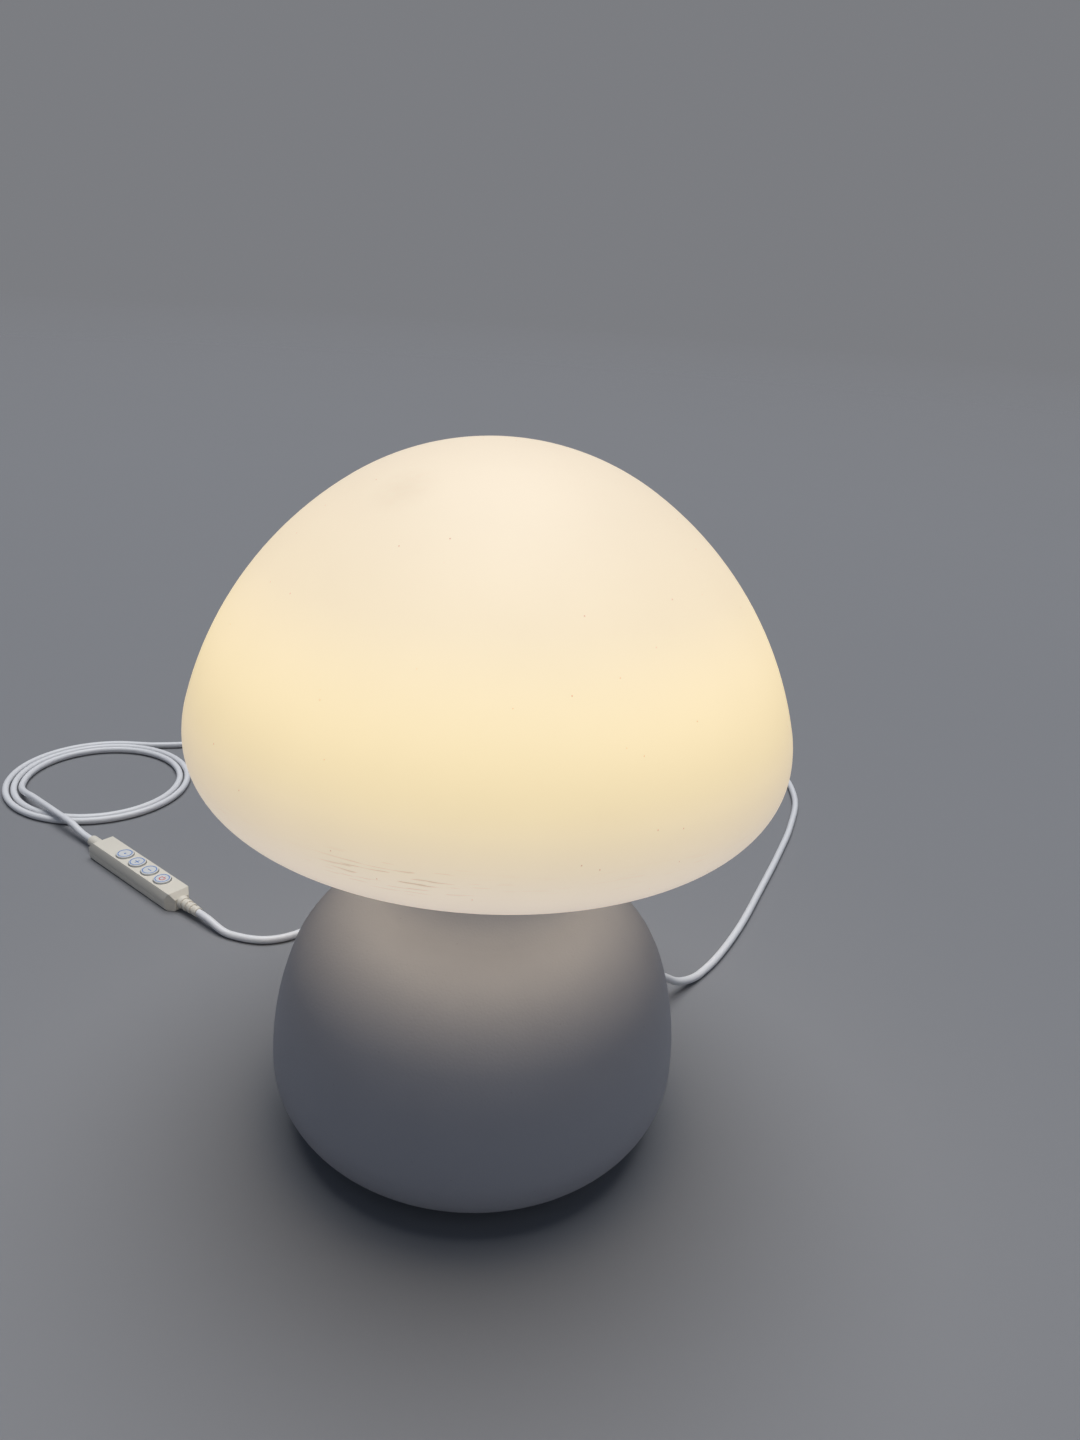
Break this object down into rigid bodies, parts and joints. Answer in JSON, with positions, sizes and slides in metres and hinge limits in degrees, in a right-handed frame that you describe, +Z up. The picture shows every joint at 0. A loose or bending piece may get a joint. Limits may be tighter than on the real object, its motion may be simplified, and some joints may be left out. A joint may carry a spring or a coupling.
{
  "type": "mushroom table lamp",
  "caption": "Mushroom-shaped table lamp: a glowing opal cap that lifts off a flattened-ball base, with a thin cord, an in-line switch box with push buttons, and a flat plug.",
  "frame": {"origin": "on the table under the middle of the base, at the bottom of the foot pads, leaving out the cord and what is on it", "axes": "+Z up along the lamp's axis; the picture looks along +Y, so -Y is the front; the cord leaves at the back right"},
  "size_m": [0.4552, 0.4466, 0.2413],
  "materials": {
    "opal_shade": "opal satin plastic, lit from inside",
    "base_matte": "fine matte",
    "cover_plastic": "moulded matte",
    "ballast_steel": "plain plate",
    "screw_steel": "bright plated",
    "pad_rubber": "soft matte",
    "cord_white": "smooth satin sheath",
    "black_plastic": "moulded",
    "head_plastic": "moulded",
    "gasket_silicone": "milky",
    "spreader_metal": "rolled",
    "board_mask": "white, smooth",
    "led_phosphor": "lit",
    "case_plastic": "cream, fine matte",
    "circuit_board": "green mask",
    "button_grey": "soft touch",
    "button_red": "soft touch",
    "contact_gold": "plated"
  },
  "bodies": {
    "lamp": {"base_shell": "base_matte", "bottom_cover": "cover_plastic", "ballast_plate": "ballast_steel", "cover_screws": "screw_steel", "foot_pads": "pad_rubber", "cord_gland": "cord_white", "pull_stop": "black_plastic", "inner_lead": "cord_white", "light_head": "head_plastic", "seat_gasket": "gasket_silicone", "heat_spreader": "spreader_metal", "led_board": "board_mask", "led_chips": "led_phosphor", "board_screws": "screw_steel", "board_connector": "board_mask", "lamp_lead": "cord_white", "lead_loops": "cord_white", "plug_lead": "cord_white", "switch_top_case": "case_plastic", "switch_bottom_case": "case_plastic", "switch_board": "circuit_board", "tact_switches": "black_plastic", "driver_chip": "black_plastic", "switch_inlet_relief": "case_plastic", "switch_outlet_relief": "case_plastic", "plug_body": "cord_white", "plug_shell": "screw_steel", "plug_tongue": "board_mask", "plug_contacts": "contact_gold"},
    "cap": {"shade": "opal_shade", "shade_ring": "opal_shade"},
    "mode": {"mode_button": "button_grey"},
    "up": {"up_button": "button_grey"},
    "down": {"down_button": "button_grey"},
    "power": {"power_button": "button_red"}
  },
  "joints": [
    {"name": "cap_lift", "type": "slide", "parent": "lamp", "child": "cap", "axis": [0, 0, 1], "range_m": [0, 0.12]},
    {"name": "mode_press", "type": "slide", "parent": "lamp", "child": "mode", "axis": [0, 0, -1], "range_m": [0, 0.0006], "stiffness_N_per_m": 1000, "springref_m": -0.0005},
    {"name": "up_press", "type": "slide", "parent": "lamp", "child": "up", "axis": [0, 0, -1], "range_m": [0, 0.0006], "stiffness_N_per_m": 1000, "springref_m": -0.0005},
    {"name": "down_press", "type": "slide", "parent": "lamp", "child": "down", "axis": [0, 0, -1], "range_m": [0, 0.0006], "stiffness_N_per_m": 1000, "springref_m": -0.0005},
    {"name": "power_press", "type": "slide", "parent": "lamp", "child": "power", "axis": [0, 0, -1], "range_m": [0, 0.0006], "stiffness_N_per_m": 1000, "springref_m": -0.0005}
  ]
}
